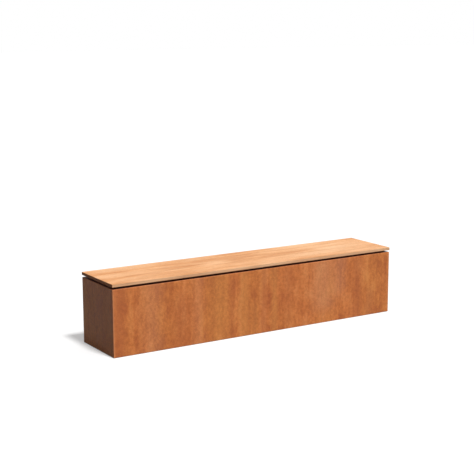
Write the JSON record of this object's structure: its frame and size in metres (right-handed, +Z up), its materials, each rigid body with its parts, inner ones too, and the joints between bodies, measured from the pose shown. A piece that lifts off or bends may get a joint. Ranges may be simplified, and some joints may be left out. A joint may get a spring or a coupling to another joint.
{
  "type": "bench with planter",
  "caption": "Long low bench: a folded weathering-steel planter trough closed by a lift-off hardwood seat of boards laid lengthwise, with a dark shadow gap between them.",
  "frame": {"origin": "on the ground, under the middle of the bench", "axes": "+X along the bench to the right seen from the front, +Y to the back, +Z up to the seat"},
  "size_m": [2.004, 0.404, 0.43],
  "materials": {
    "weathering_steel": "matt rust patina on bare weathering steel, not paint",
    "hardwood": "planed and oiled light orange hardwood",
    "black_coated_steel": "satin black coating",
    "rubber": "matt black"
  },
  "bodies": {
    "trough": {"front_panel": "weathering_steel", "rear_panel": "weathering_steel", "left_end_panel": "weathering_steel", "right_end_panel": "weathering_steel", "floor_tray": "weathering_steel", "floor_rib_1": "weathering_steel", "floor_rib_2": "weathering_steel", "floor_rib_3": "weathering_steel", "floor_rib_4": "weathering_steel", "cross_tie_1": "weathering_steel", "cross_tie_2": "weathering_steel", "cross_tie_3": "weathering_steel"},
    "seat": {"seat_board_1": "hardwood", "seat_board_2": "hardwood", "seat_board_3": "hardwood", "seat_board_4": "hardwood", "seat_board_5": "hardwood", "seat_bearer_1": "black_coated_steel", "seat_bearer_2": "black_coated_steel", "seat_bearer_3": "black_coated_steel", "seat_bearer_4": "black_coated_steel", "seat_bearer_5": "black_coated_steel", "front_pad_1": "rubber", "front_pad_2": "rubber", "front_pad_3": "rubber", "front_pad_4": "rubber", "front_pad_5": "rubber", "rear_pad_1": "rubber", "rear_pad_2": "rubber", "rear_pad_3": "rubber", "rear_pad_4": "rubber", "rear_pad_5": "rubber", "locating_lug_front_left": "black_coated_steel", "locating_lug_front_right": "black_coated_steel", "locating_lug_rear_right": "black_coated_steel", "locating_lug_rear_left": "black_coated_steel"}
  },
  "joints": [
    {"name": "seat_lift", "type": "slide", "parent": "trough", "child": "seat", "axis": [0, 0, 1], "range_m": [0, 0.15]}
  ]
}
